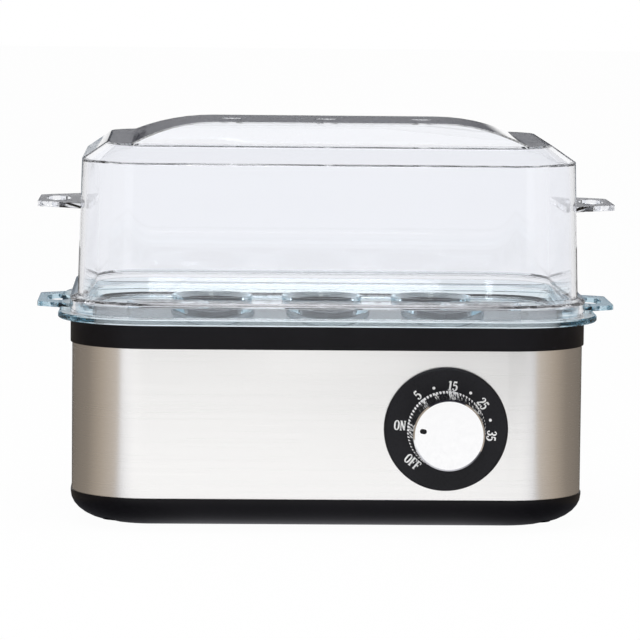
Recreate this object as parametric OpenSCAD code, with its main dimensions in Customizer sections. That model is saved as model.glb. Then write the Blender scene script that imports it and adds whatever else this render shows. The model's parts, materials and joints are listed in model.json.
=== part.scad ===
// Electric egg cooker for eight eggs: base with heater and timer, egg tray and clear lid.
// The origin lies on the table under the middle of the footprint, with the knob at the front (-Y).

/* [Body] */
// Width of the steel band
body_w = 200; // [190:1:240]
// Depth of the steel band
body_d = 144; // [140:1:180]
// Corner radius of the steel band, seen from above
corner_r = 31; // [28:0.5:34]
// Height of the rubber feet under the base
foot_h = 1; // [1:0.5:5]
// Radius of a rubber foot
foot_r = 7; // [5:0.5:9]
// Height of the black base that shows
base_h = 12; // [11.5:0.1:16]
// Height of the steel band that shows
band_h = 58; // [57:1:80]
// Height of the black rim that shows
rim_h = 9.4; // [8:0.1:12]
// How far the black base stands out from the band
base_proud = 0.4; // [0:0.1:1.5]
// How far the black rim stands out from the band
rim_proud = 0.7; // [0:0.1:1.5]

/* [Walls] */
// Thickness of the band's steel sheet
band_t = 0.6; // [0.4:0.1:1]
// Thickness of the base's floor
floor_t = 2.5; // [2:0.1:3.5]
// Thickness of the lips that hold the band from inside
lip_t = 1.8; // [1.2:0.1:2.5]
// Height of the lips that hold the band from inside
lip_h = 5; // [3:0.5:5]
// How far the base's lower edge rounds inward
edge_run = 18; // [14:0.5:20]
// How far the base's lower edge rounds upward
edge_rise = 11; // [8:0.5:11]
// Wall of the black rim
rim_wall = 3.2; // [2.5:0.1:4]
// Depth of the rim's shelf under the tray
shelf_drop = 7; // [6.5:0.1:8]
// Thickness of the rim's shelf
shelf_t = 2.2; // [1.5:0.1:3]

/* [Heating pan] */
// Thickness of the pan's sheet
pan_t = 1; // [0.6:0.1:1.5]
// Depth of the pan
pan_depth = 8; // [6:0.5:10]
// Thickness of the silicone seal
seal_t = 1.5; // [1:0.1:2.5]
// Radius of the heating tube
tube_r = 3.3; // [2.5:0.1:4]

/* [Egg tray] */
// How far the tray's flange stands out from the band
flange_out = 5.6; // [4:0.1:8]
// Thickness of the tray's flange
flange_t = 2.5; // [2:0.1:4]
// Thickness of the tray's floor
tray_t = 2; // [1.5:0.1:2.5]
// Radius of an egg seat
seat_r = 14.5; // [12:0.5:16]
// Height of the collar round an egg seat
collar_h = 2.4; // [1:0.1:4]
// Spacing of the three seats in a row
seat_pitch = 45; // [42:0.5:46]
// Distance of a row of three from the middle
row_y = 41; // [38:0.5:46]
// Distance of a side seat from the middle
side_x = 63; // [60:0.5:70]

/* [Lid] */
// Height of the lid's flat top over the tray's flange
lid_h = 66.4; // [60:0.1:90]
// Wall of the lid
lid_t = 2; // [1.5:0.1:2.5]
// Width of the chamfer round the lid's top
lid_chamfer_w = 9.8; // [6:0.1:11]
// Height of the chamfer round the lid's top
lid_chamfer_h = 6.7; // [4:0.1:9]
// Height of the raised middle
hump_h = 7.3; // [5:0.1:10]
// Distance of the raised middle's ends from the edge of the flat top
hump_end_in = 9.6; // [7:0.1:14]
// Half the depth of the raised middle's flat
hump_flat_y = 30; // [24:1:36]
// Radius of the raised middle's arched ends
hump_end_r = 74; // [60:1:80]
// Radius of a steam vent
vent_r = 4; // [3:0.5:5]
// Spacing of the steam vents
vent_pitch = 38; // [25:1:40]

/* [Ears] */
// Reach of the ears beyond the band, on tray and lid
ear_out = 14.6; // [13:0.1:25]
// Half the width of an ear at its tip
ear_half = 19.5; // [17:0.5:24]
// Half the width of an ear level with the band
ear_root_half = 29; // [25:0.5:34]
// Thickness of an ear on the lid
ear_t = 2.1; // [2:0.1:4]
// Height of the lid's ears over the tray's flange
ear_up = 39.2; // [20:0.1:50]
// Thickness of an ear on the tray
tray_ear_t = 1.9; // [1.8:0.1:4]
// Height of the tray's ears over the tray's flange
tray_ear_up = 1.5; // [0.5:0.1:1.5]
// Width of the finger hole in an ear
ear_hole_w = 9.8; // [7:0.1:10]
// Length of the finger hole in an ear
ear_hole_l = 26; // [18:0.5:30]

/* [Dial and knob] */
// Distance of the dial's middle from the band's right side
dial_inset = 54.9; // [52:0.1:70]
// Height of the dial over the band's lower edge
dial_up = 27.8; // [26.5:0.1:30]
// Radius of the dial ring
dial_r = 24; // [20:0.5:25]
// Thickness of the dial ring
dial_t = 1.8; // [1.6:0.1:3]
// Radius of the knob at its foot
knob_r = 15.2; // [14.5:0.1:17]
// Radius of the knob at its front
knob_front_r = 13.7; // [12:0.1:14.2]
// Length of the knob
knob_h = 19; // [16:0.5:24]
// Length of the knob's plain rim in front of its ribs
knob_lip = 2.2; // [1:0.1:4]
// Count of the ribs round the knob
knob_ribs = 72; // [36:1:90]
// Depth of the ribs round the knob
rib_depth = 0.5; // [0.3:0.1:0.5]
// Radius of the timer's shaft
shaft_r = 3; // [2.5:0.1:3.5]

/* [Clearances] */
// Gap between pieces that slot together
fit_gap = 0.1; // [0.05:0.05:0.2]
// Gap between pieces that lift apart
lift_gap = 0.5; // [0.3:0.1:0.8]
// Running gap of the turning shaft, on the radius
run_gap = 0.05; // [0.02:0.01:0.1]
// Gap between the knob and the dial
knob_gap = 0.5; // [0.3:0.1:1]

/* [Hidden] */
$fn = 64;

// How far a cutting shape runs past the face it cuts
cut = 1;

// Colours
black_plastic = [0.12, 0.12, 0.13];
steel_color = [0.78, 0.76, 0.73];
dark_steel = [0.35, 0.35, 0.36];
brass_color = [0.80, 0.65, 0.35];
ceramic_color = [0.90, 0.88, 0.82];
clear_color = [0.90, 0.92, 0.97, 0.35];
teal_color = [0.62, 0.76, 0.82, 0.5];
chrome_color = [0.90, 0.90, 0.92];
rubber_color = [0.08, 0.08, 0.08];
silicone_color = [0.85, 0.83, 0.80];

// Half sizes of the band's outer face, the outline that every shell follows
hx = body_w / 2;
hy = body_d / 2;

// Levels, from the table up
z_base = foot_h;
z_floor = z_base + floor_t;
z_band = z_base + base_h;
z_rim = z_band + band_h;
z_tray = z_rim + rim_h;
z_flange = z_tray + flange_t;
z_shelf = z_tray - shelf_drop;
z_shelf_under = z_shelf - shelf_t;
z_pan_rest = z_shelf + seal_t;
z_pan_floor = z_pan_rest + pan_t - pan_depth;
z_pan_under = z_pan_floor - pan_t;
dial_x = hx - dial_inset;
z_dial = z_band + dial_up;

// Distances from the band's outer face, outward positive
lip_out = -band_t - fit_gap;
lip_in = lip_out - lip_t;
edge_in = base_proud - edge_run;
edge_steps = 8;
shelf_reach = 19.6;
pan_flange_gap = 0.8;
pan_flange_out = -rim_wall - pan_flange_gap;
pan_shelf_gap = 0.9;
pan_wall_out = -shelf_reach - pan_shelf_gap;
pan_wall_in = pan_wall_out - pan_t;

// Screw posts at the four corners
post_inset = 18;
post_x = hx - post_inset;
post_y = hy - post_inset;
post_r = 5.6;
rim_post_r = 4.6;
screw_r = 2;
screw_head_r = 3.6;
screw_head_h = 2.6;
split_up = 16;
screw_land = 8;
z_split = z_band + split_up;
z_screw_head = z_split - screw_land;
screw_bite = 16;

// Rubber feet
foot_inset = 35;
foot_x = hx - foot_inset;
foot_y = hy - foot_inset;
foot_stem_r = 2.5;
foot_barb_r = 3.8;
foot_barb_h = 1.8;
foot_edge = 0.6;

// Clamp bars under the pan
bar_inset = 32;
bar_x = hx - bar_inset;
bar_w = 12;
bar_t = 1.5;
bar_drop = 5.5;
bar_leg_over = 0.6;
bar_leg_y = hy - shelf_reach + bar_leg_over;
z_bar = z_pan_under - bar_drop;
stud_r = 2;
stud_tail = 6;
nut_h = 3.2;
nut_r = 4;

// Heating tube, a loop that keeps clear of the clamp bars
loop_gap = 2.7;
loop_inset = 45;
loop_x = bar_x - bar_w / 2 - tube_r - loop_gap;
loop_y = hy - loop_inset;
z_tube = z_pan_under - tube_r - fit_gap;
tube_bend = 12;
tube_end_x = 20;
tube_end_bend = 8;
tube_tail_x = tube_end_x - tube_end_bend;
z_tail = z_tube - tube_end_bend;
bead_r = 4.2;
bead_h = 6;
pin_r = 1.5;
pin_h = 8;

// Boil-dry cut-out and fuse under the pan
cutout_r = 8;
cutout_cap_h = 4;
cutout_body_r = 7;
cutout_body_h = 5;
cutout_h = cutout_cap_h + cutout_body_h;
cutout_tab_w = 4.8;
cutout_tab_l = 7;
cutout_tab_y = 3.5;
tab_t = 0.8;
bracket_half = 20;
bracket_foot = 6;
bracket_w = 9;
bracket_t = 0.8;
fuse_gap = 4;
fuse_y = 8;
fuse_r = 2;
fuse_l = 12;
fuse_x = -bracket_half - bracket_foot - fuse_gap - fuse_l / 2;
clip_t = 0.6;
clip_w = 7;
clip_wing = 4;

// Terminal block and gland
block_side = 55;
block_x = block_side - hx;
block_inset = 26;
block_y = hy - block_inset;
block_w = 32;
block_d = 24;
block_h = 13;
block_wire_r = 2.2;
block_boss_r = 3.6;
block_boss_h = 6;
block_screw_r = 1.5;
block_screw_y = 9;
block_ways = 3;
z_block = z_floor + block_boss_h;
gland_inset = 40;
gland_x = gland_inset - hx;
gland_up = 14;
gland_bore_r = 3.5;
gland_neck_r = 5.4;
gland_flange_r = 7.5;
gland_flange_h = 2.6;
gland_snap_r = 6.2;
gland_snap_h = 2;

// Timer behind the dial
timer_half = 18;
timer_plate_half = 20;
timer_plate_t = 1;
timer_depth = 28;
y_front = -hy;
y_inside = y_front + band_t;
y_case = y_inside + timer_plate_t;
y_case_back = y_case + timer_depth;
bush_wall = 1.5;
bush_r = shaft_r + bush_wall;
bush_flange_w = 2;
bush_flange_r = bush_r + bush_flange_w;
bush_flange_t = 1;
bush_sunk = 0.3;
y_bush = y_front - dial_t + bush_sunk;
cam_r = 9;
cam_t = 4;
cam_gap = 0.4;
cam_clear = 2;
cam_room = bush_flange_t + cam_t + 2 * cam_gap;
journal_l = 12;
journal_gap = 0.5;
y_journal = y_case + cam_room;
panel_screw_r = 1.5;
panel_screw_head_r = 2.8;
panel_screw_head_h = 1.1;
panel_screw_out = 13;
bolt_r = 1.2;
bolt_head_r = 2.3;
bolt_head_h = 1.6;
bolt_out = 15;
timer_tab_w = 6.3;
timer_tab_l = 9;
timer_tab_sunk = 2;
timer_tab_back = 14;
timer_tab_y = y_case + timer_tab_back;
timer_tab_up = 7.5;
bell_r = 15;
bell_depth = 7;
bell_t = 0.8;
bell_gap = 1;
bell_post_r = 4;
bell_stud_r = 2.2;
bell_stud_l = 3.4;
bell_nut_h = 2.4;
y_bell = y_case_back + bell_gap;
y_bell_top = y_bell + bell_depth - bell_t;

// Knob
y_dial = y_front - dial_t;
y_knob = y_dial - knob_gap;
y_knob_face = y_knob - knob_h;
knob_foot_h = 1.4;
knob_edge = 0.6;
knob_face_r = knob_front_r - knob_edge;
knob_taper = atan((knob_r - knob_front_r) / (knob_h - knob_foot_h - knob_edge));
rib_pitch = 2 * PI * knob_front_r / knob_ribs;
rib_open = 0.34;
knob_cap_t = 2.6;
knob_shell = 2;
knob_inner_r = knob_front_r - rib_depth - knob_shell;
knob_hub_wall = 2.2;
knob_hub_r = shaft_r + knob_hub_wall;
knob_hub_in = 1.6;
knob_bore_l = 11;
knob_tip_gap = 1;
mark_angle = 171;
mark_out = 10;
mark_w = 1.9;
mark_l = 2.7;
mark_depth = 0.6;
clip_ring_w = 1.6;
clip_ring_r = shaft_r + clip_ring_w;
clip_ring_t = 0.8;
clip_ring_gap = 0.2;
y_clip = y_bush - clip_ring_gap;

// Egg tray
tray_wall = 2;
well_out = -rim_wall - lift_gap;
well_in = well_out - tray_wall;
well_drop = 2.6;
z_well = z_tray - well_drop;
z_well_top = z_well + tray_t;
flange_edge = 0.5;
ridge_h = 3.7;
ridge_t = 1.8;
collar_t = 2;
collar_flare = 1;
steam_slot_w = 3.6;
steam_slot_l = 26;
steam_slot_pitch = 14;
drain_r = 1.8;
seats = concat(
    [for (sx = [-1 : 1], sy = [-1, 1]) [sx * seat_pitch, sy * row_y]],
    [for (sx = [-1, 1]) [sx * side_x, 0]]
);

// Lid
skirt_out = 1;
skirt_h = 5.9;
skirt_flare_h = 1.1;
lid_foot_in = 2;
lid_draft = 1.5;
lid_shoulder_in = lid_foot_in + lid_draft;
lid_top_in = lid_shoulder_in + lid_chamfer_w;
lid_join = 1;
lid_join_in = lid_top_in + lid_join;
z_top = z_flange + lid_h;
z_shoulder = z_top - lid_chamfer_h;
z_skirt = z_flange + skirt_h;
z_flare = z_skirt + skirt_flare_h;
chamfer_angle = atan(lid_chamfer_h / lid_chamfer_w);
ridge_out = skirt_out - lid_t - lift_gap;
ridge_in = ridge_out - ridge_t;
hump_margin = 2.4;
hump_root = 1;
hump_foot_y = hy - lid_top_in - hump_margin;
hump_slope = atan(hump_h / (hump_foot_y - hump_flat_y));
hump_steps = 6;
hump_end_angle = acos(1 - hump_h / hump_end_r);
hump_flat_x = hx - lid_top_in - hump_end_in - hump_end_r * sin(hump_end_angle);
z_hump = z_top + hump_h;
z_ear = z_flange + ear_up;
ear_reach = hx + ear_out;
ear_corner = 3;
ear_corner_steps = 5;
ear_flare = (ear_root_half - ear_half) / ear_out;
ear_hole_rim = 3.1;
ear_hole_x = ear_reach - ear_hole_rim - ear_hole_w / 2;
tray_ear_root = hx + skirt_out + lift_gap;
z_tray_ear = z_flange + tray_ear_up - tray_ear_t;
ear_root = 4;

// Half the difference between the knob's reach and the flange's reach centres the footprint
front_reach = -y_knob_face;
rear_reach = hy + flange_out;
centre_y = (front_reach - rear_reach) / 2;

// Puts a piece drawn about the body's middle into the part's frame
module placed() {
    translate([0, centre_y, 0])
    children();
}

// Body outline grown outward by out
module outline(out) {
    square([2 * (hx + out), 2 * (hy - corner_r)], center = true);
    square([2 * (hx - corner_r), 2 * (hy + out)], center = true);
    for (sx = [-1, 1], sy = [-1, 1])
        translate([sx * (hx - corner_r), sy * (hy - corner_r)])
        circle(r = corner_r + out);
}

// Plate of the body outline
module outline_plate(out, thickness) {
    linear_extrude(thickness)
    outline(out);
}

// Wall profile, drawn as [distance outward from the band, height], led round the body outline
module outline_wall() {
    turns = [[1, 1], [-1, 1], [-1, -1], [1, -1]];
    for (q = [0 : 3]) {
        run = q % 2 == 0 ? hy - corner_r : hx - corner_r;
        reach = q % 2 == 0 ? hx : hy;
        translate([turns[q].x * (hx - corner_r), turns[q].y * (hy - corner_r), 0])
        rotate(90 * q)
        rotate_extrude(angle = 90)
        translate([corner_r, 0])
        children();
        rotate(90 * q)
        translate([reach, run, 0])
        rotate([90, 0, 0])
        linear_extrude(2 * run)
        children();
    }
}

// Copies at the four corners given by half distances
module four(x, y) {
    for (sx = [-1, 1], sy = [-1, 1])
        translate([sx * x, sy * y, 0])
        children();
}

// Turns a piece drawn along +Z to point to the back, from depth y on the dial's axis
module on_dial(y) {
    translate([dial_x, y, z_dial])
    rotate([-90, 0, 0])
    children();
}

// Slot with round ends, along Y
module slot(width, length) {
    square([width, length - width], center = true);
    for (s = [-1, 1])
        translate([0, s * (length - width) / 2])
        circle(d = width);
}

module base_shell() {
    profile = concat(
        [for (i = [0 : edge_steps])
            let (a = 90 * i / edge_steps)
            [base_proud - edge_run * (1 - sin(a)), z_base + edge_rise * (1 - cos(a))]],
        [[base_proud, z_band], [lip_out, z_band]],
        [[lip_out, z_band + lip_h], [lip_in, z_band + lip_h]],
        [for (i = [edge_steps : -1 : 0])
            let (a = 90 * i / edge_steps)
            [edge_in + (lip_in - edge_in) * sin(a), z_floor + (z_band - z_floor) * (1 - cos(a))]]
    );
    vent_count = 7;
    vent_gap = 9;
    vent_w = 3.5;
    vent_l = 46;
    color(black_plastic)
    placed()
    difference() {
        union() {
            outline_wall()
            polygon(profile);
            translate([0, 0, z_base])
            outline_plate(edge_in, floor_t);
            four(post_x, post_y)
            translate([0, 0, z_floor - floor_t / 3])
            cylinder(r = post_r, h = z_split - z_floor + floor_t / 3);
            for (s = [-1, 1])
                translate([block_x, block_y + s * block_screw_y, z_floor - floor_t / 3])
                cylinder(r = block_boss_r, h = block_boss_h + floor_t / 3);
        }
        four(post_x, post_y) {
            cylinder(r = screw_r + fit_gap, h = z_split + cut);
            cylinder(r = screw_head_r + 4 * fit_gap, h = z_screw_head);
        }
        four(foot_x, foot_y)
        cylinder(r = foot_stem_r + fit_gap, h = z_floor + cut);
        for (s = [-1, 1])
            translate([block_x, block_y + s * block_screw_y, z_floor])
            cylinder(r = block_screw_r + fit_gap, h = block_boss_h + cut);
        for (i = [0 : vent_count - 1])
            translate([(i - (vent_count - 1) / 2) * vent_gap, 0, 0])
            linear_extrude(z_floor + cut)
            slot(vent_w, vent_l);
    }
}

module rubber_feet() {
    color(rubber_color)
    placed()
    four(foot_x, foot_y)
    rotate_extrude()
    polygon([
        [0, 0], [foot_r - foot_edge, 0], [foot_r, foot_edge], [foot_r, z_base],
        [foot_stem_r, z_base], [foot_stem_r, z_floor], [foot_barb_r, z_floor],
        [foot_stem_r, z_floor + foot_barb_h], [0, z_floor + foot_barb_h]
    ]);
}

module base_screws() {
    color(steel_color)
    placed()
    four(post_x, post_y)
    translate([0, 0, z_screw_head]) {
        translate([0, 0, -screw_head_h])
        cylinder(r = screw_head_r, h = screw_head_h);
        cylinder(r = screw_r, h = z_split - z_screw_head + screw_bite);
    }
}

module steel_band() {
    color(steel_color)
    placed()
    difference() {
        translate([0, 0, z_band])
        linear_extrude(band_h)
        difference() {
            outline(0);
            outline(-band_t);
        }
        on_dial(y_front - cut) {
            cylinder(r = bush_r + 4 * fit_gap, h = band_t + 2 * cut);
            for (s = [-1, 1])
                translate([s * panel_screw_out, 0, 0])
                cylinder(r = panel_screw_r + fit_gap, h = band_t + 2 * cut);
        }
        translate([gland_x, hy - band_t - cut, z_band + gland_up])
        rotate([-90, 0, 0])
        cylinder(r = gland_neck_r + fit_gap, h = band_t + 2 * cut);
    }
}

module top_rim() {
    rim_edge = 0.6;
    color(black_plastic)
    placed()
    difference() {
        union() {
            outline_wall()
            polygon([
                [rim_proud, z_rim], [rim_proud, z_tray - rim_edge],
                [rim_proud - rim_edge, z_tray], [-rim_wall, z_tray],
                [-rim_wall, z_shelf], [-shelf_reach, z_shelf],
                [-shelf_reach, z_shelf_under], [lip_in, z_shelf_under],
                [lip_in, z_rim - lip_h], [lip_out, z_rim - lip_h], [lip_out, z_rim]
            ]);
            four(post_x, post_y)
            translate([0, 0, z_split])
            cylinder(r = rim_post_r, h = z_shelf_under + shelf_t / 2 - z_split);
        }
        four(post_x, post_y)
        translate([0, 0, z_split - cut])
        cylinder(r = screw_r + run_gap, h = screw_bite + 2 * cut);
    }
}

module heating_pan() {
    pan_edge = 1.5;
    color(dark_steel)
    placed() {
        outline_wall()
        polygon([
            [pan_wall_out, z_pan_under], [pan_wall_out, z_pan_rest], [pan_flange_out, z_pan_rest],
            [pan_flange_out, z_pan_rest + pan_t], [pan_wall_out, z_pan_rest + pan_t],
            [pan_wall_in, z_pan_rest + pan_t - pan_edge], [pan_wall_in, z_pan_under]
        ]);
        translate([0, 0, z_pan_under])
        outline_plate(pan_wall_in, pan_t);
    }
}

module pan_seal() {
    seal_inset = 2;
    seal_land = 4;
    seal_out = pan_flange_out - seal_inset;
    seal_in = seal_land - shelf_reach;
    lip = 0.8;
    color(silicone_color)
    placed()
    outline_wall()
    polygon([
        [seal_out, z_shelf], [seal_out, z_pan_rest - lip], [seal_out - lip, z_pan_rest],
        [seal_in + lip, z_pan_rest], [seal_in, z_pan_rest - lip], [seal_in, z_shelf]
    ]);
}

module pan_studs() {
    color(steel_color)
    placed()
    for (s = [-1, 1])
        translate([s * bar_x, 0, z_bar - stud_tail])
        cylinder(r = stud_r, h = z_pan_under - z_bar + stud_tail);
}

module pan_nuts() {
    color(steel_color)
    placed()
    for (s = [-1, 1])
        translate([s * bar_x, 0, z_bar - nut_h])
        difference() {
            cylinder(r = nut_r, h = nut_h, $fn = 6);
            translate([0, 0, -cut])
            cylinder(r = stud_r + run_gap, h = nut_h + 2 * cut);
        }
}

module clamp_bars() {
    y_in = bar_leg_y;
    y_out = bar_leg_y + bar_t;
    color(steel_color)
    placed()
    for (s = [-1, 1])
        translate([s * bar_x, 0, 0])
        difference() {
            translate([-bar_w / 2, 0, 0])
            rotate([90, 0, 90])
            linear_extrude(bar_w)
            polygon([
                [-y_out, z_bar], [y_out, z_bar], [y_out, z_shelf_under], [y_in, z_shelf_under],
                [y_in, z_bar + bar_t], [-y_in, z_bar + bar_t], [-y_in, z_shelf_under],
                [-y_out, z_shelf_under]
            ]);
            translate([0, 0, z_bar - cut])
            cylinder(r = stud_r + 2 * fit_gap, h = bar_t + 2 * cut);
        }
}

// Straight stretch of heating tube between two points on one axis
module tube_run(from, along, length) {
    translate(from)
    rotate(along)
    cylinder(r = tube_r, h = length);
}

// Quarter bend of heating tube about a centre
module tube_turn(centre, turn, radius) {
    translate(centre)
    rotate(turn)
    rotate_extrude(angle = 90)
    translate([radius, 0])
    circle(r = tube_r);
}

module heating_element() {
    straight_x = loop_x - tube_bend;
    straight_y = loop_y - tube_bend;
    color(dark_steel)
    placed() {
        tube_run([-straight_x, -loop_y, z_tube], [0, 90, 0], 2 * straight_x);
        tube_turn([straight_x, -straight_y, z_tube], [0, 0, 270], tube_bend);
        tube_turn([-straight_x, -straight_y, z_tube], [0, 0, 180], tube_bend);
        for (s = [-1, 1])
            tube_run([s * loop_x, -straight_y, z_tube], [-90, 0, 0], 2 * straight_y);
        tube_turn([straight_x, straight_y, z_tube], [0, 0, 0], tube_bend);
        tube_turn([-straight_x, straight_y, z_tube], [0, 0, 90], tube_bend);
        tube_run([tube_end_x, loop_y, z_tube], [0, 90, 0], straight_x - tube_end_x);
        tube_run([-straight_x, loop_y, z_tube], [0, 90, 0], straight_x - tube_end_x);
        tube_turn([tube_end_x, loop_y, z_tail], [90, 270, 0], tube_end_bend);
        tube_turn([-tube_end_x, loop_y, z_tail], [90, 0, 0], tube_end_bend);
    }
}

module element_terminals() {
    color(ceramic_color)
    placed()
    for (s = [-1, 1])
        translate([s * tube_tail_x, loop_y, z_tail - bead_h]) {
            cylinder(r = bead_r, h = bead_h);
            translate([0, 0, -pin_h])
            cylinder(r = pin_r, h = pin_h);
        }
}

module thermostat() {
    color(ceramic_color)
    placed()
    translate([0, 0, z_pan_under]) {
        translate([0, 0, -cutout_cap_h])
        cylinder(r = cutout_r, h = cutout_cap_h);
        translate([0, 0, -cutout_h])
        cylinder(r = cutout_body_r, h = cutout_body_h);
        for (s = [-1, 1])
            translate([-cutout_tab_w / 2, s * cutout_tab_y - tab_t / 2, -cutout_h - cutout_tab_l])
            cube([cutout_tab_w, tab_t, cutout_tab_l]);
    }
}

module thermostat_bracket() {
    z_ring = z_pan_under - cutout_cap_h - bracket_t;
    bracket_end = bracket_half + bracket_foot;
    color(steel_color)
    placed()
    difference() {
        translate([0, bracket_w, 0])
        rotate([90, 0, 0])
        linear_extrude(2 * bracket_w)
        polygon([
            [-bracket_end, z_pan_under], [-bracket_end, z_pan_under - bracket_t],
            [-bracket_half, z_pan_under - bracket_t], [-bracket_half, z_ring],
            [bracket_half, z_ring], [bracket_half, z_pan_under - bracket_t],
            [bracket_end, z_pan_under - bracket_t], [bracket_end, z_pan_under],
            [bracket_half - bracket_t, z_pan_under], [bracket_half - bracket_t, z_ring + bracket_t],
            [bracket_t - bracket_half, z_ring + bracket_t], [bracket_t - bracket_half, z_pan_under]
        ]);
        translate([0, 0, z_ring - cut])
        cylinder(r = cutout_body_r + 2 * fit_gap, h = bracket_t + 2 * cut);
    }
}

module thermal_fuse() {
    color(ceramic_color)
    placed()
    translate([fuse_x - fuse_l / 2, fuse_y, z_pan_under - fuse_r - fit_gap])
    rotate([0, 90, 0])
    cylinder(r = fuse_r, h = fuse_l);
}

module fuse_clip() {
    half = fuse_r + fit_gap;
    drop = 2 * fuse_r + 2 * fit_gap;
    color(steel_color)
    placed()
    translate([fuse_x - clip_w / 2, fuse_y, z_pan_under])
    rotate([90, 0, 90])
    linear_extrude(clip_w)
    polygon([
        [-half, 0], [-half, -drop], [half, -drop], [half, 0], [half + clip_wing, 0],
        [half + clip_wing, -clip_t], [half + clip_t, -clip_t], [half + clip_t, -drop - clip_t],
        [-half - clip_t, -drop - clip_t], [-half - clip_t, -clip_t],
        [-half - clip_wing, -clip_t], [-half - clip_wing, 0]
    ]);
}

module terminal_block() {
    way = block_w / block_ways;
    color(ceramic_color)
    placed()
    translate([block_x, block_y, z_block])
    difference() {
        translate([-block_w / 2, -block_d / 2, 0])
        cube([block_w, block_d, block_h]);
        for (i = [0 : block_ways - 1])
            translate([(i + 0.5) * way - block_w / 2, -block_d / 2 - cut, block_h / 2])
            rotate([-90, 0, 0])
            cylinder(r = block_wire_r, h = block_d + 2 * cut);
        for (s = [-1, 1])
            translate([0, s * block_screw_y, -cut])
            cylinder(r = block_screw_r + fit_gap, h = block_h + 2 * cut);
    }
}

module block_screws() {
    head_h = 2;
    color(steel_color)
    placed()
    for (s = [-1, 1])
        translate([block_x, block_y + s * block_screw_y, z_block]) {
            translate([0, 0, block_h])
            cylinder(r = 2 * block_screw_r, h = head_h);
            translate([0, 0, -block_boss_h / 2])
            cylinder(r = block_screw_r, h = block_h + block_boss_h / 2);
        }
}

module cord_gland() {
    edge = 0.8;
    color(rubber_color)
    placed()
    translate([gland_x, hy, z_band + gland_up])
    rotate([-90, 0, 0])
    rotate_extrude()
    polygon([
        [gland_bore_r, -band_t - gland_snap_h], [gland_neck_r, -band_t - gland_snap_h],
        [gland_snap_r, -band_t], [gland_neck_r, -band_t], [gland_neck_r, 0],
        [gland_flange_r, 0], [gland_flange_r, gland_flange_h - edge],
        [gland_flange_r - edge, gland_flange_h], [gland_bore_r, gland_flange_h]
    ]);
}

module dial_ring() {
    edge = 0.8;
    color(black_plastic)
    placed()
    difference() {
        on_dial(y_dial)
        rotate_extrude()
        polygon([
            [bush_r + 5 * fit_gap, 0], [dial_r - edge, 0], [dial_r, edge],
            [dial_r, dial_t], [bush_r + 5 * fit_gap, dial_t]
        ]);
        on_dial(y_front - panel_screw_head_h - fit_gap)
        for (s = [-1, 1])
            translate([s * panel_screw_out, 0, 0])
            cylinder(r = panel_screw_head_r + 2 * fit_gap, h = panel_screw_head_h + cut);
    }
}

module panel_screws() {
    color(steel_color)
    placed()
    on_dial(y_front)
    for (s = [-1, 1])
        translate([s * panel_screw_out, 0, 0]) {
            translate([0, 0, -panel_screw_head_h])
            cylinder(r = panel_screw_head_r, h = panel_screw_head_h);
            cylinder(r = panel_screw_r, h = band_t + timer_plate_t);
        }
}

module timer_plate() {
    color(steel_color)
    placed()
    on_dial(y_inside)
    linear_extrude(timer_plate_t)
    difference() {
        square(2 * timer_plate_half, center = true);
        circle(r = bush_r + fit_gap);
        for (s = [-1, 1])
            translate([s * panel_screw_out, 0])
            circle(r = panel_screw_r + run_gap);
        for (sx = [-1, 1], sy = [-1, 1])
            translate([sx * bolt_out, sy * bolt_out])
            circle(r = bolt_r + run_gap);
    }
}

module timer_case() {
    color(ceramic_color)
    placed()
    difference() {
        on_dial(y_case) {
            translate([-timer_half, -timer_half, 0])
            cube([2 * timer_half, 2 * timer_half, timer_depth]);
            cylinder(r = bell_post_r, h = y_bell_top - y_case);
            cylinder(r = bell_stud_r, h = y_bell_top - y_case + bell_stud_l);
        }
        on_dial(y_case - cut) {
            cylinder(r = cam_r + cam_clear, h = cam_room + cut);
            cylinder(r = shaft_r + run_gap, h = cam_room + journal_l + cut);
            four(bolt_out, bolt_out)
            cylinder(r = bolt_r + fit_gap, h = timer_depth + 2 * cut);
        }
        for (s = [-1, 1])
            translate([
                dial_x - timer_half - cut, timer_tab_y - timer_tab_w / 2 - fit_gap,
                z_dial + s * timer_tab_up - tab_t / 2 - fit_gap
            ])
            cube([timer_tab_sunk + cut, timer_tab_w + 2 * fit_gap, tab_t + 2 * fit_gap]);
    }
}

module timer_bolts() {
    color(steel_color)
    placed()
    on_dial(y_inside)
    four(bolt_out, bolt_out) {
        cylinder(r = bolt_r, h = timer_plate_t + timer_depth);
        translate([0, 0, timer_plate_t + timer_depth])
        cylinder(r = bolt_head_r, h = bolt_head_h);
    }
}

module timer_bush() {
    color(brass_color)
    placed()
    on_dial(y_bush)
    difference() {
        union() {
            cylinder(r = bush_r, h = y_case - y_bush);
            translate([0, 0, y_case - y_bush])
            cylinder(r = bush_flange_r, h = bush_flange_t);
        }
        translate([0, 0, -cut])
        cylinder(r = shaft_r + run_gap, h = y_case - y_bush + bush_flange_t + 2 * cut);
    }
}

module timer_tabs() {
    color(brass_color)
    placed()
    for (s = [-1, 1])
        translate([
            dial_x - timer_half - timer_tab_l, timer_tab_y - timer_tab_w / 2,
            z_dial + s * timer_tab_up - tab_t / 2
        ])
        cube([timer_tab_l + timer_tab_sunk, timer_tab_w, tab_t]);
}

module timer_bell() {
    shoulder = 3;
    color(steel_color)
    placed()
    on_dial(y_bell)
    rotate_extrude()
    polygon([
        [bell_stud_r + fit_gap, bell_depth - bell_t], [bell_r - bell_t - shoulder, bell_depth - bell_t],
        [bell_r - bell_t, bell_depth - bell_t - shoulder], [bell_r - bell_t, 0], [bell_r, 0],
        [bell_r, bell_depth - shoulder], [bell_r - shoulder, bell_depth],
        [bell_stud_r + fit_gap, bell_depth]
    ]);
}

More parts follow.
